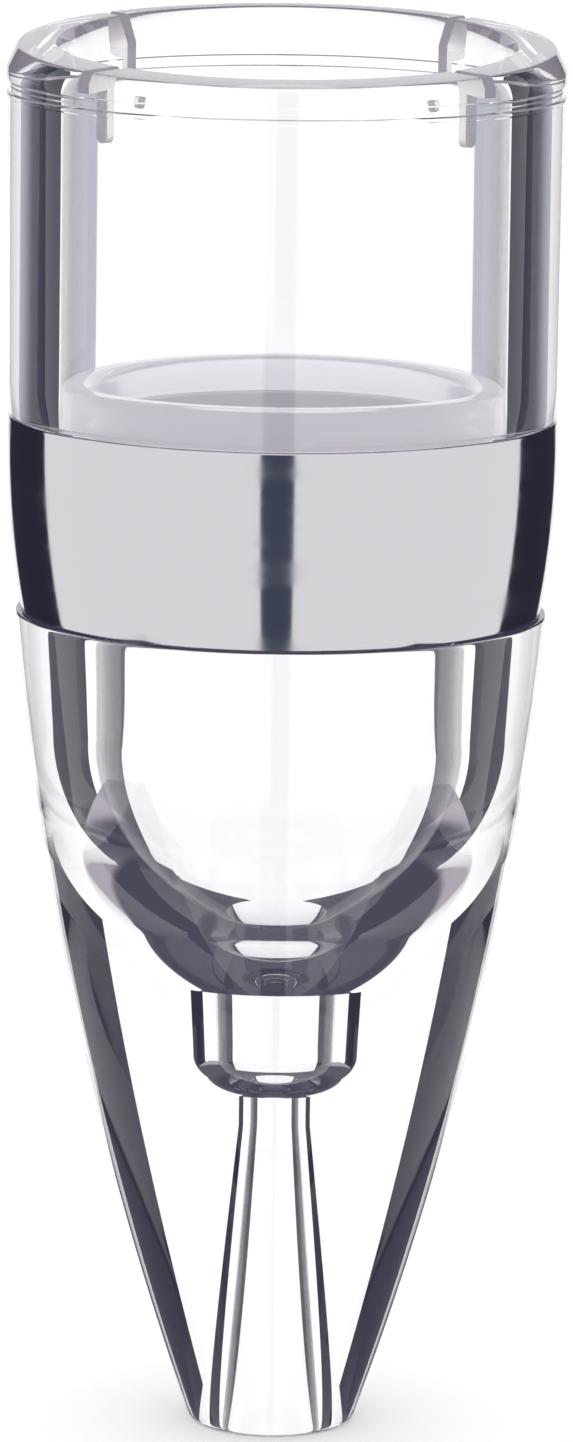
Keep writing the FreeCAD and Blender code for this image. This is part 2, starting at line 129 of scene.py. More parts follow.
class AeratorSizes(bpy.types.PropertyGroup):
    """Sizes of the pieces: the driving ones as properties, then the radii and heights they give."""

    segments: IntProperty(name="Segments", description="Facets round a turned piece",
                          default=320, min=48, max=720)
    bore: length("Cup bore", "Bore of the cup and of the neck's counterbore", 22.0)
    cup_wall: length("Cup wall", "Wall of the cup at its foot", 5.1)
    foot_flare: length("Foot flare", "Growth of the cup's outside over its foot", 0.2)
    foot_flare_height: length("Foot flare height", "Height of the flared foot", 3.45)
    foot_rounding: length("Foot rounding", "Rounding of the foot's outer edge", 0.25)
    wall_draft: length("Wall draft", "Further growth of the outside up to the lip line", 0.07)
    wall_height: length("Wall height", "From the flared foot to the lip line", 27.8)
    lip_overhang: length("Lip overhang", "How far lip line and rim stand out from the wall", 0.13)
    lip_slope: length("Lip slope", "Height over which the outside steps in or out", 0.15)
    lip_height: length("Lip height", "Height of the fine lip line", 0.35)
    lip_rounding: length("Lip rounding", "Rounding of the lip line's and the rim's edges", 0.06)
    recess_depth: length("Recess depth", "Depth of the recess under the rim", 0.2)
    recess_height: length("Recess height", "Height of that recess", 0.95)
    rim_face_height: length("Rim face", "Height of the upright face of the rim", 1.29)
    crest_front: length("Crest front", "Slanted top over the rim's edge at the front", 0.58)
    crest_back: length("Crest back", "Slanted top over the rim's edge at the back", 4.04)
    crest_spare: length("Crest spare", "What the slanted cut takes off at the back", 0.5)
    crest_rounding: length("Crest rounding", "Rounding of the corners on the crest", 0.3)
    outer_flank_run: length("Outer flank", "How far the crest's outer flank leans in", 2.2)
    inner_flank_run: length("Inner flank", "How far the crest's inner flank leans out", 1.7)
    bore_edge_rise: length("Bore edge", "Bore's top edge over the rim's edge", 0.66)
    slot_width: length("Slot width", "Width of a slot", 1.25)
    slot_depth: length("Slot depth", "Depth of a slot into the bore's wall", 1.4)
    slot_height: length("Slot height", "How far a slot reaches below the rim's edge", 5.84)
    notch_height: length("Notch height", "How far the notch reaches below the rim's edge", 0.9)

    body_length: length("Body length", "Height of the shoulder over the tip", 82.93)
    flank_swell: length("Flank swell", "Bulge of the outside of the lower body", 2.635)
    shoulder_width: length("Shoulder width", "Ledge that carries the band", 1.43)
    shoulder_rounding: length("Shoulder rounding", "Rounding of the shoulder's edge", 0.3)
    shoulder_hollow: length("Shoulder hollow", "Rounding between shoulder and neck", 0.2)
    neck_wall: length("Neck wall", "Wall of the neck round the sleeve", 2.9)
    neck_length: length("Neck length", "Height of the neck over the shoulder", 19.47)
    neck_rounding: length("Neck rounding", "Rounding of the neck's outer edge", 0.3)
    tip_wall: length("Tip wall", "Wall round the outlet at the tip", 3.41)
    tip_rounding: length("Tip rounding", "Rounding of the tip's outer edge", 0.75)
    outlet_radius: length("Outlet radius", "Mouth of the outlet tube", 4.8)
    outlet_rounding: length("Outlet rounding", "Rounding of the outlet's edge", 0.3)
    throat_radius: length("Throat radius", "Narrowest bore", 2.45)
    throat_top: length("Throat top", "Height of the throat's upper end", 36.2)
    throat_length: length("Throat length", "Straight length of the throat", 3.0)
    chamber_floor_radius: length("Chamber radius", "Chamber's bore above its floor", 5.75)
    chamber_floor_height: length("Chamber floor", "Height of the rounded floor", 4.3)
    chamber_floor_bulge: length("Chamber floor bulge", "Roundness of the floor", 1.0)
    chamber_flare: length("Chamber flare", "Growth of the chamber up to its mouth", 0.25)
    chamber_length: length("Chamber length", "Height of the chamber over its floor", 6.5)
    # The bowl is rounder than the funnel of the solids, by up to 1.9 mm in radius
    bowl_foot_run: length("Bowl foot run", "Growth of the bowl over its foot", 5.4)
    bowl_foot_height: length("Bowl foot height", "Height of the bowl's foot", 6.0)
    bowl_foot_bulge: length("Bowl foot bulge", "Roundness of the bowl's foot", 0.45)
    bowl_height: length("Bowl height", "Height of the bowl over its foot", 19.0)
    bowl_bulge: length("Bowl bulge", "Roundness of the bowl", 1.95)
    bore_draft: length("Bore draft", "Growth from the bowl up to the sleeve", 0.6)

    sleeve_clearance: length("Sleeve clearance", "Gap round the sleeve", 0.1)
    sleeve_wall: length("Sleeve wall", "Wall of the sleeve", 3.7)
    sleeve_length: length("Sleeve length", "Length of the sleeve", 16.25)
    sleeve_depth: length("Sleeve depth", "Depth of the counterbore in the neck", 12.4)
    sleeve_step: length("Sleeve step", "Wider bore at the sleeve's upper end", 0.5)
    sleeve_step_depth: length("Sleeve step depth", "Depth of that wider bore", 3.4)
    sleeve_bore_step: length("Sleeve bore step", "Wider bore under the sleeve", 0.4)
    sleeve_edge: length("Sleeve edge", "Rounding of the sleeve's outer edges", 0.3)
    sleeve_mouth: length("Sleeve mouth", "Rounding of its upper inner edge", 1.6)
    sleeve_hollow: length("Sleeve hollow", "Rounding in the corner of its step", 0.15)
    sleeve_ledge: length("Sleeve ledge", "Rounding on the edge of its step", 0.2)
    seat_gap: length("Seat gap", "Gap where one piece sits on another", 0.05)
    foot_gap: length("Foot gap", "Gap between the neck's end and the cup's foot", 0.15)
    band_clearance: length("Band clearance", "Gap between the band and the neck", 0.1)
    band_step: length("Band step", "Band's lower edge behind the shoulder's edge", 0.55)
    band_proud: length("Band proud", "Band's upper edge before the cup's foot", 0.08)
    band_swell: length("Band swell", "Bulge of the band between its edges", 0.513)
    band_rounding: length("Band rounding", "Rounding of the band's outer edges", 0.22)

    foot_radius = total("bore", "cup_wall")
    flare_radius = total("foot_radius", "foot_flare")
    wall_radius = total("flare_radius", "wall_draft")
    rim_radius = total("wall_radius", "lip_overhang")
    recess_radius = total("rim_radius", "-recess_depth")
    slot_radius = total("bore", "slot_depth")
    neck_radius = total("bore", "neck_wall")
    shoulder_radius = total("neck_radius", "shoulder_width")
    tip_radius = total("outlet_radius", "tip_wall")
    sleeve_outside = total("bore", "-sleeve_clearance")
    sleeve_bore = total("sleeve_outside", "-sleeve_wall")
    sleeve_wide_bore = total("sleeve_bore", "sleeve_step")
    lower_bore = total("sleeve_bore", "sleeve_bore_step")
    bowl_radius = total("lower_bore", "-bore_draft")
    chamber_mouth = total("chamber_floor_radius", "chamber_flare")
    bowl_foot_radius = total("chamber_mouth", "bowl_foot_run")
    band_bore = total("neck_radius", "band_clearance")
    band_foot_radius = total("shoulder_radius", "-band_step")
    band_top_radius = total("foot_radius", "band_proud")

    shoulder_level = total("body_length")
    neck_level = total("shoulder_level", "neck_length")
    sleeve_seat = total("neck_level", "-sleeve_depth")
    sleeve_foot = total("sleeve_seat", "seat_gap")
    sleeve_top = total("sleeve_foot", "sleeve_length")
    sleeve_step_level = total("sleeve_top", "-sleeve_step_depth")
    foot_level = total("neck_level", "foot_gap")
    band_foot = total("shoulder_level", "seat_gap")
    band_top = total("foot_level", "-seat_gap")
    flare_level = total("foot_level", "foot_flare_height")
    lip_level = total("flare_level", "wall_height")
    lip_foot = total("lip_level", "lip_slope")
    lip_end = total("lip_foot", "lip_height")
    recess_foot = total("lip_end", "lip_slope")
    recess_end = total("recess_foot", "recess_height")
    rim_foot = total("recess_end", "lip_slope")
    rim_level = total("rim_foot", "rim_face_height")
    bore_edge = total("rim_level", "bore_edge_rise")
    crest_top = total("rim_level", "crest_back", "crest_spare")
    slot_level = total("rim_level", "-slot_height")
    notch_level = total("rim_level", "-notch_height")
    throat_foot = total("throat_top", "-throat_length")
    chamber_floor = total("throat_top", "chamber_floor_height")
    chamber_top = total("chamber_floor", "chamber_length")
    bowl_foot = total("chamber_top", "bowl_foot_height")
    bowl_top = total("bowl_foot", "bowl_height")


class AeratorColours(bpy.types.PropertyGroup):
    """Colours and optics of the materials, with the painted glows of the acrylic and the sleeve."""

    acrylic: colour("Acrylic", "Tint of the clear acrylic", (0.985, 0.98, 0.99))
    acrylic_index: FloatProperty(name="Acrylic index", description="Refraction of the acrylic",
                                 default=1.49, min=1.0, max=2.0)
    # Painted glow: after the followed turns the clear acrylic gives off these tones as light,
    # standing in for light still inside the wall; the acrylic is no lamp
    painted_trapped_light: colour("Trapped light", "Light that stays long in the cup's wall",
                    (0.15, 0.135, 0.16))
    painted_trapped_light_low: colour("Trapped light below", "Light that stays long in the lower body",
                        (0.025, 0.024, 0.04))
    painted_light_after: FloatProperty(name="Trapped after", description="Turns that light is followed",
                                 default=3.5, min=0.5, max=20.0)
    steel: colour("Steel", "Polished steel of the band", (0.60, 0.595, 0.62))
    brushed: colour("Brushed steel", "Brushed steel in the band's bore", (0.93, 0.93, 0.94))
    sleeve: colour("Sleeve", "Translucent sleeve", (0.88, 0.855, 0.91))
    sleeve_index: FloatProperty(name="Sleeve index", description="Refraction of the sleeve",
                                default=1.43, min=1.0, max=2.0)
    sleeve_clear: FloatProperty(name="Sleeve clearness", description="How clear the sleeve is",
                                default=0.68, min=0.0, max=1.0)
    # Painted glow: the sleeve gives off its own colour as light, though it is no lamp
    sleeve_painted_glow: FloatProperty(name="Sleeve glow", description="Light scattered out of the sleeve",
                               default=0.10, min=0.0, max=1.0)
    floor: colour("Floor", "Pale floor", (0.985, 0.985, 0.985))
    floor_glow: FloatProperty(name="Floor glow", description="Lift of the floor to plain white",
                              default=0.1, min=0.0, max=1.0)


class AeratorStage(bpy.types.PropertyGroup):
    """Light and camera."""

    sky: FloatProperty(name="Sky", description="Strength of the even white light",
                       default=1.1, min=0.0, max=5.0)
    lens: FloatProperty(name="Lens", description="Focal length in millimetres",
                        default=190.72, min=10.0, max=500.0)
    flags: BoolProperty(name="Flags", description="Dark cards that draw the edges of clear pieces",
                        default=True)


class Finish(NamedTuple):
    """Roughness, marks and waves of a surface, on object coordinates."""

    roughness: float
    marks: float
    mark_scale: float
    wave_scale: float
    wave_depth: float = 0.0
    stretch: tuple = (1.0, 1.0, 1.0)


MOULDED = Finish(0.0, 0.012, 90.0, 45.0, 0.01 * MM)
SAWN = MOULDED._replace(roughness=0.42)
SATIN = Finish(0.10, 0.10, 220.0, 400.0, 0.02 * MM)
POLISHED = Finish(0.07, 0.10, 55.0, 25.0, 0.012 * MM, (1.0, 1.0, 6.0))
BRUSHED = Finish(0.42, 0.1, 120.0, 80.0)


def bowed(first, last, bulge, count):
    """Points on the arc from first to last without the last one.

    The bulge is the arc's height over the chord, and the radius is (chord^2 / 4 + bulge^2) /
    (2 bulge). A positive bulge lies to the right of the way and a negative one to the left, in a
    plane with radius across and height up.
    """
    first = np.array(first, float)
    last = np.array(last, float)
    way = last - first
    chord = np.hypot(*way)
    if abs(bulge) < 1e-9:
        return first + np.linspace(0.0, 1.0, count, endpoint=False)[:, None] * way
    side = math.copysign(1.0, bulge)
    sag = abs(bulge)
    radius = (chord ** 2 / 4.0 + sag ** 2) / (2.0 * sag)
    right = np.array((way[1], -way[0])) / chord
    centre = (first + last) / 2.0 - right * side * (radius - sag)
    begin = math.atan2(*(first - centre)[::-1])
    end = math.atan2(*(last - centre)[::-1])
    turn = (end - begin + math.pi) % FULL_TURN - math.pi
    angle = begin + np.linspace(0.0, 1.0, count, endpoint=False) * turn
    return centre + radius * np.stack((np.cos(angle), np.sin(angle)), -1)


def rounded_corner(before, corner, after, size, count):
    """Points of a curve that cuts a corner: (1-t)^2 a + 2t(1-t) corner + t^2 b.

    The ends a and b lie at the given size from the corner.
    """
    before, corner, after = (np.array(point, float) for point in (before, corner, after))
    start = corner + (before - corner) * (size / np.linalg.norm(before - corner))
    end = corner + (after - corner) * (size / np.linalg.norm(after - corner))
    share = np.linspace(0.0, 1.0, count)[:, None]
    return (1 - share) ** 2 * start + 2 * share * (1 - share) * corner + share ** 2 * end


def round_some(outline, corners, count):
    """Replace the named corners of an outline by rounded ones; corners maps an index to a size."""
    made = []
    for index, point in enumerate(outline):
        if index in corners:
            after = outline[(index + 1) % len(outline)]
            made.append(rounded_corner(outline[index - 1], point, after, corners[index], count))
        else:
            made.append(np.array([point], float))
    return np.concatenate(made)


def angle_to_nearest(angles, marks):
    """Angle from each direction to the nearest mark, the short way round."""
    gap = (angles[:, None] - marks[None, :] + math.pi) % FULL_TURN - math.pi
    return np.abs(gap).min(1)


def grid_mesh(name, columns, heights, angles):
    """Mesh of a ring-shaped grid, from the radius and height of every column and row.

    A vertex is (radius cos angle, radius sin angle, height). Both ways of the grid close on
    themselves, doubled points are merged, and the faces are turned outwards.
    """
    count, rows = columns.shape
    across = columns * np.cos(angles)[:, None]
    deep = columns * np.sin(angles)[:, None]
    vertices = np.stack((across, deep, heights), -1).reshape(-1, 3)
    column = np.arange(count)[:, None]
    row = np.arange(rows)[None, :]
    beside = (column + 1) % count
    above = (row + 1) % rows
    quads = np.stack((column * rows + row, beside * rows + row,
                      beside * rows + above, column * rows + above), -1)
    mesh = bpy.data.meshes.new(name)
    mesh.from_pydata(vertices.tolist(), [], quads.reshape(-1, 4).tolist())
    shape = bmesh.new()
    shape.from_mesh(mesh)
    bmesh.ops.remove_doubles(shape, verts=shape.verts, dist=MERGE_DISTANCE)
    bmesh.ops.dissolve_degenerate(shape, dist=THINNEST_EDGE, edges=shape.edges)
    bmesh.ops.recalc_face_normals(shape, faces=shape.faces)
    shape.to_mesh(mesh)
    shape.free()
    mesh.polygons.foreach_set("use_smooth", np.ones(len(mesh.polygons), bool))
    mesh.set_sharp_from_angle(angle=SHARP_ANGLE)
    return mesh


def turned_mesh(name, outline, segments):
    """Mesh of a closed outline of radii and heights carried once round the axis."""
    angles = np.arange(segments) * (FULL_TURN / segments)
    columns = np.tile(outline[:, 0], (segments, 1))
    heights = np.tile(outline[:, 1], (segments, 1))
    return grid_mesh(name, columns, heights, angles)


def face_values(mesh, kind):
    """Centre or normal of every face, one row a face."""
    values = np.empty(3 * len(mesh.polygons))
    mesh.polygons.foreach_get(kind, values)
    return values.reshape(-1, 3)


def place(name, mesh, material, node):
    """Link a finished piece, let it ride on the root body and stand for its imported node."""
    piece = bpy.data.objects.new(name, mesh)
    bpy.context.scene.collection.objects.link(piece)
    mesh.materials.append(material)
    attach(piece, "root")
    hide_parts(node)
    return piece


def new_node(nodes, kind, inputs=None, **settings):
    """A shader node with its settings and input values."""
    node = nodes.new(kind)
    for label, value in settings.items():
        setattr(node, label, value)
    for label, value in (inputs or {}).items():
        node.inputs[label].default_value = value
    return node


def surface_wear_group():
    """Shader group: moulding waves as a height and polish marks as a roughness over the surface."""
    found = bpy.data.node_groups.get("polish_and_waves")
    if found:
        return found
    group = bpy.data.node_groups.new("polish_and_waves", "ShaderNodeTree")
    sockets = (("Base Roughness", "NodeSocketFloat", 0.01),
               ("Polish Marks", "NodeSocketFloat", 0.02),
               ("Mark Scale", "NodeSocketFloat", 60.0),
               ("Wave Scale", "NodeSocketFloat", 30.0),
               ("Stretch", "NodeSocketVector", (1.0, 1.0, 1.0)))
    for label, kind, value in sockets:
        socket = group.interface.new_socket(label, in_out="INPUT", socket_type=kind)
        socket.default_value = value
    for label in ("Roughness", "Height"):
        group.interface.new_socket(label, in_out="OUTPUT", socket_type="NodeSocketFloat")
    nodes, links = group.nodes, group.links
    inside = nodes.new("NodeGroupInput")
    outside = nodes.new("NodeGroupOutput")
    spot = nodes.new("ShaderNodeTexCoord")
    stretch = new_node(nodes, "ShaderNodeVectorMath", operation="MULTIPLY")
    marks = new_node(nodes, "ShaderNodeTexNoise", {"Detail": 4.0})
    waves = new_node(nodes, "ShaderNodeTexNoise", {"Detail": 1.0})
    spread = new_node(nodes, "ShaderNodeMapRange", {"From Min": 0.45, "From Max": 0.8})
    times = new_node(nodes, "ShaderNodeMath", operation="MULTIPLY")
    plus = new_node(nodes, "ShaderNodeMath", operation="ADD")
    links.new(spot.outputs["Object"], stretch.inputs[0])
    links.new(inside.outputs["Stretch"], stretch.inputs[1])
    links.new(stretch.outputs["Vector"], marks.inputs["Vector"])
    links.new(stretch.outputs["Vector"], waves.inputs["Vector"])
    links.new(inside.outputs["Mark Scale"], marks.inputs["Scale"])
    links.new(inside.outputs["Wave Scale"], waves.inputs["Scale"])
    links.new(marks.outputs["Fac"], spread.inputs["Value"])
    links.new(spread.outputs["Result"], times.inputs[0])
    links.new(inside.outputs["Polish Marks"], times.inputs[1])
    links.new(times.outputs["Value"], plus.inputs[0])
    links.new(inside.outputs["Base Roughness"], plus.inputs[1])
    links.new(plus.outputs["Value"], outside.inputs["Roughness"])
    links.new(waves.outputs["Fac"], outside.inputs["Height"])
    return group


INPUT_NAMES = {
    "metallic": "Metallic",
    "transmission": "Transmission Weight",
    "index": "IOR",
    "glow_colour": "Emission Color",
    "glow": "Emission Strength",
}


def finish_material(name, base, finish, **inputs):
    """A Principled material whose roughness and waves come from the shared group."""
    material = bpy.data.materials.new(name)
    material.use_nodes = True
    nodes, links = material.node_tree.nodes, material.node_tree.links
    shader = nodes["Principled BSDF"]
    shader.inputs["Base Color"].default_value = (*base, 1.0)
    for label, value in inputs.items():
        shader.inputs[INPUT_NAMES[label]].default_value = value
    group = new_node(nodes, "ShaderNodeGroup", node_tree=surface_wear_group())
    group.inputs["Base Roughness"].default_value = finish.roughness
    group.inputs["Polish Marks"].default_value = finish.marks
    group.inputs["Mark Scale"].default_value = finish.mark_scale
    group.inputs["Wave Scale"].default_value = finish.wave_scale
    group.inputs["Stretch"].default_value = finish.stretch
    links.new(group.outputs["Roughness"], shader.inputs["Roughness"])
    if finish.wave_depth > 0.0:
        bump = new_node(nodes, "ShaderNodeBump", {"Strength": 1.0, "Distance": finish.wave_depth})
        links.new(group.outputs["Height"], bump.inputs["Height"])
        links.new(bump.outputs["Normal"], shader.inputs["Normal"])
    return material


def clear_acrylic(name, painted_trapped_light, finish=MOULDED):
    """Clear acrylic with a faint cool tint, the long soft waves of a thick moulding and a painted
    glow after many turns.
    """
    colours = bpy.context.scene.aerator_colours
    material = finish_material(name, colours.acrylic, finish, transmission=1.0,
                               index=colours.acrylic_index, glow_colour=(*painted_trapped_light, 1.0))
    paint_trapped_glow(material, colours.painted_light_after)
    return material


def paint_trapped_glow(material, turns):
    """Paint a soft grey glow where light has been thrown about inside the wall many times.

    A wall of clear acrylic pipes light round corners. Only a few turns are followed, so what is
    still inside after them is painted as a glow in the tone that the surroundings would have on
    average.
    """
    nodes, links = material.node_tree.nodes, material.node_tree.links
    way = nodes.new("ShaderNodeLightPath")
    late = new_node(nodes, "ShaderNodeMath", {1: turns}, operation="GREATER_THAN")
    links.new(way.outputs["Glossy Depth"], late.inputs[0])
    # Painted glow: the emission is switched on once the glossy turns pass the given count
    links.new(late.outputs["Value"], nodes["Principled BSDF"].inputs["Emission Strength"])


class AERATOR_OT_cup(bpy.types.Operator):
    """Turn the clear cup with its lip line, stepped rim, slanted crest and four slots."""

    bl_idname = "aerator.cup"
    bl_label = "Build the cup"

    def execute(self, context):
        sizes = context.scene.aerator_sizes
        half = sizes.slot_width / 2.0 / (sizes.bore + 0.5 * sizes.slot_depth)
        slots = FIRST_SLOT + np.arange(SLOT_COUNT) * (FULL_TURN / SLOT_COUNT)
        angles, is_cut = self.column_angles(sizes.segments, slots, half)
        radii, heights = self.plain_columns(angles, sizes)
        self.cut_columns(radii, heights, angle_to_nearest(angles, slots), is_cut, sizes)
        mesh = grid_mesh("cup_clear", radii, heights, angles)
        # Painted glow tone of the cup's acrylic, standing in for light still inside the wall
        tone = context.scene.aerator_colours.painted_trapped_light
        place("cup_clear", mesh, clear_acrylic("clear_acrylic_cup", tone), "upper_cup")
        mesh.materials.append(clear_acrylic("clear_acrylic_sawn", tone, SAWN))
        self.mark_slots(mesh, half, slots, sizes)
        return {"FINISHED"}

    def column_angles(self, segments, slots, half):
        """Directions of the grid's columns, and which of them lie in a slot.

        Every side of a slot has two columns in one direction: one of the plain wall and one of the
        slot, so that the step between them is upright.
        """
        plain = np.arange(segments) * (FULL_TURN / segments)
        plain = plain[angle_to_nearest(plain, slots) > half * SLOT_MARGIN]
        sides = (slots[:, None] + np.array((-half, half))[None, :]).ravel()
        cut = (slots[:, None] + np.linspace(-half, half, SLOT_COLUMNS)[None, :]).ravel()
        outwards = np.tile((-SIDE_BY_SIDE, SIDE_BY_SIDE), SLOT_COUNT)
        angles = np.concatenate((plain, sides, cut))
        is_cut = np.arange(len(angles)) >= len(plain) + len(sides)
        rank = np.concatenate((plain, sides + outwards, cut))
        order = np.argsort(rank % FULL_TURN, kind="stable")
        return angles[order], is_cut[order]

    def plain_columns(self, angles, sizes):
        """Radius and height of each row at each angle, away from the slots.

        The crest's outer and inner flanks are straight lines in radius and height. The slanted top
        is the plane height = level + slope * depth. A flank meets it where both hold, and each
        meeting is rounded.
        """
        bore, rim, edge, bore_edge = sizes.bore, sizes.rim_radius, sizes.rim_level, sizes.bore_edge
        lip = sizes.lip_rounding
        lower = round_some(np.array([
            (bore, sizes.foot_level),
            (sizes.foot_radius, sizes.foot_level),
            (sizes.flare_radius, sizes.flare_level),
            (sizes.wall_radius, sizes.lip_level),
            (rim, sizes.lip_foot),
            (rim, sizes.lip_end),
            (sizes.recess_radius, sizes.recess_foot),
            (sizes.recess_radius, sizes.recess_end),
            (rim, sizes.rim_foot),
            (rim, edge),
        ]), {1: sizes.foot_rounding, 4: lip, 5: lip, 8: lip}, CUP_CORNER_POINTS)
        slope = (sizes.crest_back - sizes.crest_front) / (2.0 * rim)
        level = edge + (sizes.crest_back + sizes.crest_front) / 2.0
        out_lean = sizes.outer_flank_run / (sizes.crest_top - edge)
        in_lean = sizes.inner_flank_run / (sizes.crest_top - bore_edge)
        rise = slope * np.sin(angles)
        outer_top = (level + rise * (rim + out_lean * edge)) / (1.0 + rise * out_lean)
        inner_top = (level + rise * (bore - in_lean * bore_edge)) / (1.0 - rise * in_lean)
        outer = (rim - out_lean * (outer_top - edge), outer_top)
        inner = (bore + in_lean * (inner_top - bore_edge), inner_top)
        room = LARGEST_ROUNDING * (outer_top - edge)
        crest = self.rounded_rows((np.full_like(rise, rim), np.full_like(rise, edge)), outer,
                                  inner, np.minimum(sizes.crest_rounding, room))
        room = LARGEST_ROUNDING * np.maximum(inner_top - bore_edge, 0.1 * MM)
        inside = self.rounded_rows(outer, inner,
                                   (np.full_like(rise, bore), np.full_like(rise, bore_edge)),
                                   np.minimum(sizes.crest_rounding, room))
        count = len(angles)
        wall = bore_edge - np.array(BORE_ROWS) * MM
        radii = np.concatenate((np.tile(lower[:, 0], (count, 1)), crest[0], inside[0],
                                np.full((count, len(wall)), bore)), 1)
        heights = np.concatenate((np.tile(lower[:, 1], (count, 1)), crest[1], inside[1],
                                  np.tile(wall, (count, 1))), 1)
        return radii, heights

    def rounded_rows(self, before, corner, after, size):
        """Rows of a rounded corner at every angle: (1-t)^2 a + 2t(1-t) corner + t^2 b."""
        before, corner, after = (np.stack(point, -1) for point in (before, corner, after))
        to_before = before - corner
        to_after = after - corner
        start = corner + to_before * (size / np.linalg.norm(to_before, axis=1))[:, None]
        end = corner + to_after * (size / np.linalg.norm(to_after, axis=1))[:, None]
        share = np.linspace(0.0, 1.0, ROUNDING_ROWS)[None, :, None]
        rows = ((1 - share) ** 2 * start[:, None] + 2 * share * (1 - share) * corner[:, None]
                + share ** 2 * end[:, None])
        return rows[..., 0], rows[..., 1]

    def cut_columns(self, radii, heights, offset, is_cut, sizes):
        """Rows of the columns in a slot: notch floor across the rim, slot wall and its round end.

        The round end is height = level + width / 2 - sqrt((width / 2)^2 - across^2).
        """
        tall = len(BORE_ROWS)
        crest_rows = 2 * ROUNDING_ROWS
        first = radii.shape[1] - tall - crest_rows
        half_width = sizes.slot_width / 2.0
        across = np.clip(offset / offset[is_cut].max(), 0.0, 1.0)[is_cut] * half_width
        round_end = sizes.slot_level + half_width - np.sqrt(
            np.maximum(half_width ** 2 - across ** 2, 0.0))
        radii[is_cut, first - 1] = sizes.rim_radius
        radii[is_cut, first:-tall] = np.linspace(sizes.rim_radius, sizes.slot_radius, crest_rows)
        radii[is_cut, -tall:-1] = sizes.slot_radius
        radii[is_cut, -1] = sizes.bore
        heights[is_cut, first - 1:-tall] = sizes.notch_level
        part = np.arange(1, tall) / (tall - 1)
        heights[is_cut, -tall:-1] = (sizes.notch_level
                                     + (round_end - sizes.notch_level)[:, None] * part)
        heights[is_cut, -1] = round_end

    def mark_slots(self, mesh, half, slots, sizes):
        """Give the faces inside the slots and notches the second material, the matt one."""
        centres = face_values(mesh, "center")
        height = centres[:, 2]
        radius = np.hypot(centres[:, 0], centres[:, 1])
        off = angle_to_nearest(np.arctan2(centres[:, 1], centres[:, 0]), slots)
        inside = (off < half * SLOT_REACH) & (height > sizes.slot_level)
        inside &= radius > sizes.bore + 0.1 * SAME_FACE
        inside &= ((radius < sizes.slot_radius + SAME_FACE)
                   | (height > sizes.notch_level - SAME_FACE))
        mesh.polygons.foreach_set("material_index", inside.astype(int))


class AERATOR_OT_sleeve(bpy.types.Operator):
    """Turn the translucent sleeve that couples cup and lower body."""

    bl_idname = "aerator.sleeve"
    bl_label = "Build the sleeve"

    def execute(self, context):
        sizes = context.scene.aerator_sizes
        colours = context.scene.aerator_colours
        outline = round_some(np.array([
            (sizes.sleeve_bore, sizes.sleeve_foot),
            (sizes.sleeve_outside, sizes.sleeve_foot),
            (sizes.sleeve_outside, sizes.sleeve_top),
            (sizes.sleeve_wide_bore, sizes.sleeve_top),
            (sizes.sleeve_wide_bore, sizes.sleeve_step_level),
            (sizes.sleeve_bore, sizes.sleeve_step_level),
        ]), {1: sizes.sleeve_edge, 2: sizes.sleeve_edge, 3: sizes.sleeve_mouth,
             4: sizes.sleeve_hollow, 5: sizes.sleeve_ledge}, SLEEVE_CORNER_POINTS)
        # The sleeve's material carries a painted glow in its own colour
        material = finish_material("sleeve_translucent", colours.sleeve, SATIN,
                                   transmission=colours.sleeve_clear, index=colours.sleeve_index,
                                   glow_colour=(*colours.sleeve, 1.0), glow=colours.sleeve_painted_glow)
        mesh = turned_mesh("sleeve_coupling", outline, sizes.segments)
        place("sleeve_coupling", mesh, material, "joint_sleeve")
        return {"FINISHED"}


class AERATOR_OT_band(bpy.types.Operator):
    """Turn the steel band: polished outside, brushed in its bore."""

    bl_idname = "aerator.band"
    bl_label = "Build the band"

    def execute(self, context):
        sizes = context.scene.aerator_sizes
        colours = context.scene.aerator_colours
        face = bowed((sizes.band_foot_radius, sizes.band_foot),
                     (sizes.band_top_radius, sizes.band_top), sizes.band_swell,
                     BAND_FACE_POINTS)
        outline = np.concatenate((np.array([(sizes.band_bore, sizes.band_foot)]), face,
                                  np.array([(sizes.band_top_radius, sizes.band_top),
                                            (sizes.band_bore, sizes.band_top)])))
        edges = {1: sizes.band_rounding, len(outline) - 2: sizes.band_rounding}
        outline = round_some(outline, edges, BAND_CORNER_POINTS)
        mesh = turned_mesh("band_steel", outline, sizes.segments)
        material = finish_material("band_polished_steel", colours.steel, POLISHED, metallic=1.0)
        place("band_steel", mesh, material, "metal_band")
        mesh.materials.append(
            finish_material("band_brushed_bore", colours.brushed, BRUSHED, metallic=1.0))
        outward = (face_values(mesh, "normal") * face_values(mesh, "center"))[:, :2].sum(1)
        mesh.polygons.foreach_set("material_index", (outward < -0.5 * sizes.band_bore).astype(int))
        return {"FINISHED"}


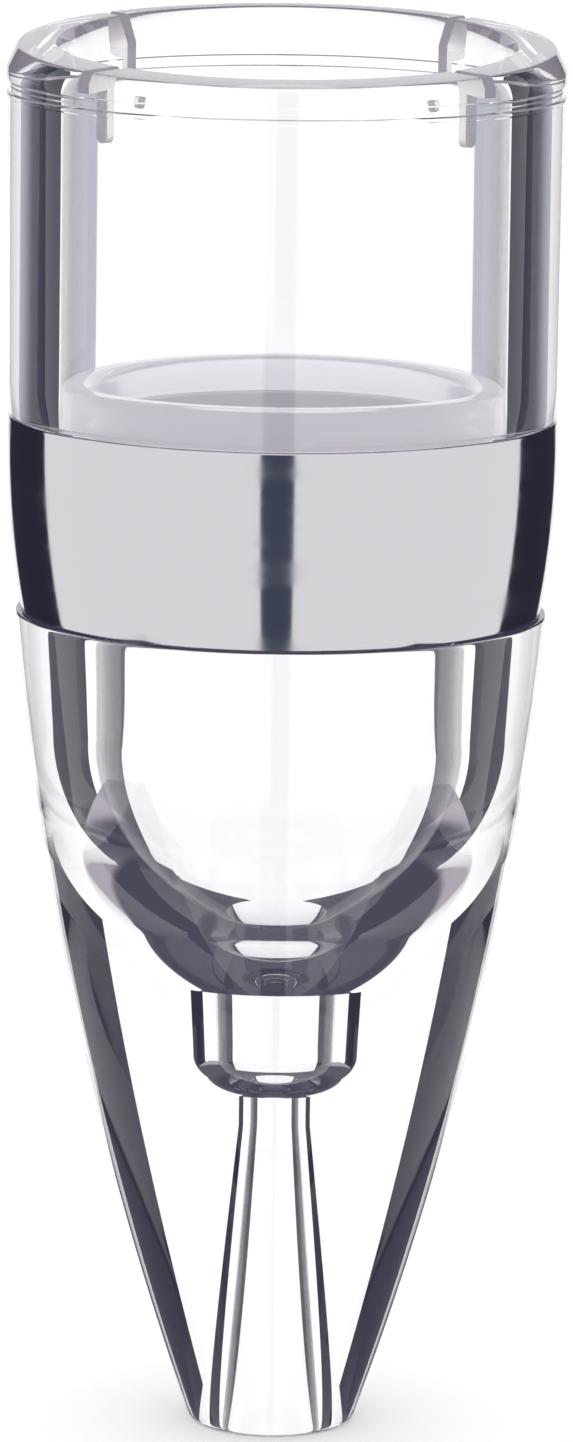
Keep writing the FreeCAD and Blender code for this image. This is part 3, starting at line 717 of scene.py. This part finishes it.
class AERATOR_OT_lower_body(bpy.types.Operator):
    """Turn the clear lower body with its bowl, mixing chamber, throat and outlet tube."""

    bl_idname = "aerator.lower_body"
    bl_label = "Build the lower body"

    def execute(self, context):
        sizes = context.scene.aerator_sizes
        outside = bowed((sizes.tip_radius, 0.0), (sizes.shoulder_radius, sizes.shoulder_level),
                        sizes.flank_swell, FLANK_POINTS)
        neck = np.array([(sizes.shoulder_radius, sizes.shoulder_level),
                         (sizes.neck_radius, sizes.shoulder_level),
                         (sizes.neck_radius, sizes.neck_level)])
        outline = np.concatenate((outside, neck, self.passage(sizes)))
        shoulder = len(outside)
        corners = {0: sizes.tip_rounding, shoulder: sizes.shoulder_rounding,
                   shoulder + 1: sizes.shoulder_hollow, shoulder + 2: sizes.neck_rounding,
                   len(outline) - 1: sizes.outlet_rounding}
        outline = self.without_points_near(outline, corners)
        mesh = turned_mesh("body_clear", outline, sizes.segments)
        # Painted glow tone of the lower body's acrylic, standing in for light still inside the wall
        tone = context.scene.aerator_colours.painted_trapped_light_low
        material = clear_acrylic("clear_acrylic_body", tone)
        place("body_clear", mesh, material, "lower_body")
        return {"FINISHED"}

    def passage(self, sizes):
        """Outline of the wine's way from the neck's end down to the outlet.

        Each stop is a point of the outline, with the bulge of the run down to the next stop and the
        number of points on that run.
        """
        stops = (
            (sizes.bore, sizes.neck_level, 0.0, 1),
            (sizes.bore, sizes.sleeve_seat, 0.0, 1),
            (sizes.lower_bore, sizes.sleeve_seat, 0.0, 4),
            (sizes.bowl_radius, sizes.bowl_top, -sizes.bowl_bulge, 40),
            (sizes.bowl_foot_radius, sizes.bowl_foot, -sizes.bowl_foot_bulge, 16),
            (sizes.chamber_mouth, sizes.chamber_top, 0.0, 4),
            (sizes.chamber_floor_radius, sizes.chamber_floor, -sizes.chamber_floor_bulge, 16),
            (sizes.throat_radius, sizes.throat_top, 0.0, 3),
            (sizes.throat_radius, sizes.throat_foot, 0.0, 6),
            (sizes.outlet_radius, 0.0, 0.0, 1),
        )
        runs = [bowed(stop[:2], after[:2], *stop[2:]) for stop, after in zip(stops, stops[1:])]
        return np.concatenate((*runs, np.array([stops[-1][:2]])))

    def without_points_near(self, outline, corners):
        """Drop plain points that crowd a rounded corner, then round the corners."""
        keep = np.ones(len(outline), bool)
        for index, size in corners.items():
            near = np.hypot(*(outline - outline[index]).T) < size * CROWDED
            near[list(corners)] = False
            keep &= ~near
        renumbered = np.cumsum(keep) - 1
        sizes = {int(renumbered[index]): size for index, size in corners.items()}
        return round_some(outline[keep], sizes, BODY_CORNER_POINTS)


def upright(first, last, depth, low, high):
    """Corners of an upright card between two places across, at one depth, from low to high."""
    return [(first, depth, low), (last, depth, low), (last, depth, high), (first, depth, high)]


def card(name, corners, tone, far_tone=None, fade=(0.0, 1.0), by_band=True, by_clear=True):
    """A flat card that gives off a tone and shows only in reflections and through clear pieces.

    With a far tone, the tone blends to it between the two distances of the fade from the axis.
    Corners and distances are in millimetres.
    """
    mesh = bpy.data.meshes.new(name)
    mesh.from_pydata([Vector(corner) * MM for corner in corners], [], [tuple(range(len(corners)))])
    material = bpy.data.materials.new(name + "_tone")
    material.use_nodes = True
    nodes, links = material.node_tree.nodes, material.node_tree.links
    nodes.clear()
    glow = new_node(nodes, "ShaderNodeEmission", {"Color": (*tone, 1.0)})
    output = nodes.new("ShaderNodeOutputMaterial")
    links.new(glow.outputs["Emission"], output.inputs["Surface"])
    if far_tone:
        spot = nodes.new("ShaderNodeTexCoord")
        flat = new_node(nodes, "ShaderNodeVectorMath", {1: (1.0, 1.0, 0.0)}, operation="MULTIPLY")
        away = new_node(nodes, "ShaderNodeVectorMath", operation="LENGTH")
        ramp = new_node(nodes, "ShaderNodeMapRange",
                        {"From Min": fade[0] * MM, "From Max": fade[1] * MM},
                        interpolation_type="SMOOTHSTEP")
        blend = new_node(nodes, "ShaderNodeMix", data_type="RGBA")
        blend.inputs["A"].default_value = (*tone, 1.0)
        blend.inputs["B"].default_value = (*far_tone, 1.0)
        links.new(spot.outputs["Object"], flat.inputs[0])
        links.new(flat.outputs["Vector"], away.inputs[0])
        links.new(away.outputs["Value"], ramp.inputs["Value"])
        links.new(ramp.outputs["Result"], blend.inputs["Factor"])
        links.new(blend.outputs["Result"], glow.inputs["Color"])
    mesh.materials.append(material)
    shown = bpy.data.objects.new(name, mesh)
    bpy.context.scene.collection.objects.link(shown)
    shown.visible_camera = False
    shown.visible_shadow = False
    shown.visible_diffuse = False
    shown.visible_volume_scatter = False
    shown.visible_glossy = by_band
    shown.visible_transmission = by_clear
    return shown


class AERATOR_OT_stage(bpy.types.Operator):
    """Lay the pale floor and set the even light, the dark cards and the camera."""

    bl_idname = "aerator.stage"
    bl_label = "Set the stage"

    def execute(self, context):
        scene = context.scene
        stage = scene.aerator_stage
        self.floor(scene)
        self.sky(scene, stage.sky)
        if stage.flags:
            self.side_cards()
            self.low_cards()
            self.front_card()
        self.camera(scene, stage.lens)
        return {"FINISHED"}

    def side_cards(self):
        """Cards behind the object at both sides.

        The clear pieces see a graded one above a dark one, and the band sees an even one.
        """
        dark = (0.032, 0.031, 0.052)
        pale = (0.56, 0.58, 0.68)
        behind, behind_band = 96, 97
        low, waist, high = -60, 85, 300
        high_inner, deep_inner, clear_outer = 47, 54, 175
        band_inner, band_outer = 60, 237
        for side, name in ((-1, "left"), (1, "right")):
            card("flag_high_" + name,
                 upright(side * high_inner, side * clear_outer, behind, waist, high),
                 pale, dark, (100.0, 127.0), by_band=False)
            card("flag_deep_" + name,
                 upright(side * deep_inner, side * clear_outer, behind, low, waist),
                 dark, by_band=False)
            card("flag_band_" + name,
                 upright(side * band_inner, side * band_outer, behind_band, low, high),
                 dark, by_clear=False)

    def low_cards(self):
        """Cards under the object.

        The clear pieces see a wide one with a gap at the back, and the band sees a nearer one.
        """
        dark = (0.07, 0.068, 0.10)
        beige = (0.40, 0.36, 0.42)
        level, reach, front, back = -0.8, 300, -150, 95
        gap_back, gap_front, gap_depth = 60, 35, 48
        right = [(reach, front, level), (reach, back, level), (gap_back, back, level),
                 (gap_front, gap_depth, level)]
        left = [(-across, depth, height) for across, depth, height in reversed(right)]
        card("flag_low", left + right, dark, beige, (105.0, 135.0), by_band=False)
        near_level, near_reach, near_front = -0.6, 165, -90
        near = [(-near_reach, near_front, near_level), (near_reach, near_front, near_level),
                (near_reach, back, near_level), (-near_reach, back, near_level)]
        card("flag_near", near, (0.06, 0.058, 0.085), by_clear=False)

    def front_card(self):
        """A tall card behind the camera, which the band mirrors as its dark stripe."""
        left, right, depth, low, high = -124, 72, -810, -900, 600
        card("flag_front", upright(left, right, depth, low, high), (0.07, 0.085, 0.13))

    def floor(self, scene):
        """A pale floor under the tip, which the clear pieces and the band don't see."""
        reach = FLOOR_REACH
        mesh = bpy.data.meshes.new("floor")
        mesh.from_pydata([(-reach, -reach, 0.0), (reach, -reach, 0.0), (reach, reach, 0.0),
                          (-reach, reach, 0.0)], [], [(0, 1, 2, 3)])
        material = bpy.data.materials.new("floor_pale")
        material.use_nodes = True
        shader = material.node_tree.nodes["Principled BSDF"]
        shader.inputs["Base Color"].default_value = (*scene.aerator_colours.floor, 1.0)
        shader.inputs["Roughness"].default_value = 0.9
        shader.inputs["Specular IOR Level"].default_value = 0.0
        shader.inputs["Emission Color"].default_value = WHITE
        shader.inputs["Emission Strength"].default_value = scene.aerator_colours.floor_glow
        mesh.materials.append(material)
        floor = bpy.data.objects.new("floor", mesh)
        scene.collection.objects.link(floor)
        floor.visible_glossy = False
        floor.visible_transmission = False

    def sky(self, scene, strength):
        """Even white light from all round."""
        world = bpy.data.worlds.new("even_white")
        world.use_nodes = True
        background = world.node_tree.nodes["Background"]
        background.inputs["Color"].default_value = WHITE
        background.inputs["Strength"].default_value = strength
        scene.world = world

    def camera(self, scene, lens):
        """The camera looks down on the object by its pitch, with a little yaw and roll."""
        pitch, yaw, roll = CAMERA_PITCH, CAMERA_YAW, CAMERA_ROLL
        forward = Vector((math.sin(yaw) * math.cos(pitch), math.cos(yaw) * math.cos(pitch),
                          -math.sin(pitch)))
        right = Vector((math.cos(yaw), -math.sin(yaw), 0.0))
        up = right.cross(forward)
        side = math.cos(roll) * right + math.sin(roll) * up
        top = -math.sin(roll) * right + math.cos(roll) * up
        turn = Matrix((side, top, -forward)).transposed().to_4x4()
        data = bpy.data.cameras.new("front_camera")
        data.sensor_width = CAMERA_SENSOR
        data.lens = lens
        data.clip_start = CAMERA_NEAR
        data.clip_end = CAMERA_FAR
        camera = bpy.data.objects.new("front_camera", data)
        scene.collection.objects.link(camera)
        camera.matrix_world = Matrix.Translation(CAMERA_PLACE) @ turn
        scene.camera = camera
        scene.view_settings.view_transform = "Standard"


class AERATOR_PT_panel(bpy.types.Panel):
    """Sidebar panel that lists the sizes, the finishes and the building steps."""

    bl_idname = "AERATOR_PT_panel"
    bl_label = "Wine aerator"
    bl_space_type = "VIEW_3D"
    bl_region_type = "UI"
    bl_category = "Aerator"

    def draw(self, context):
        layout = self.layout
        for group_name, group in GROUPS:
            box = layout.box()
            for name in group.__annotations__:
                box.prop(getattr(context.scene, group_name), name)
        for operator in BUILDERS:
            layout.operator(operator.bl_idname)


BUILDERS = (AERATOR_OT_cup, AERATOR_OT_sleeve, AERATOR_OT_band, AERATOR_OT_lower_body,
            AERATOR_OT_stage)
GROUPS = (("aerator_sizes", AeratorSizes), ("aerator_colours", AeratorColours),
          ("aerator_stage", AeratorStage))


def register():
    for name, group in GROUPS:
        bpy.utils.register_class(group)
        setattr(bpy.types.Scene, name, PointerProperty(type=group))
    for kind in (*BUILDERS, AERATOR_PT_panel):
        bpy.utils.register_class(kind)


def unregister():
    for kind in reversed((*BUILDERS, AERATOR_PT_panel)):
        bpy.utils.unregister_class(kind)
    for name, group in reversed(GROUPS):
        delattr(bpy.types.Scene, name)
        bpy.utils.unregister_class(group)


def main():
    register()
    bpy.ops.aerator.cup()
    bpy.ops.aerator.sleeve()
    bpy.ops.aerator.band()
    bpy.ops.aerator.lower_body()
    bpy.ops.aerator.stage()


if __name__ == "__main__":
    main()
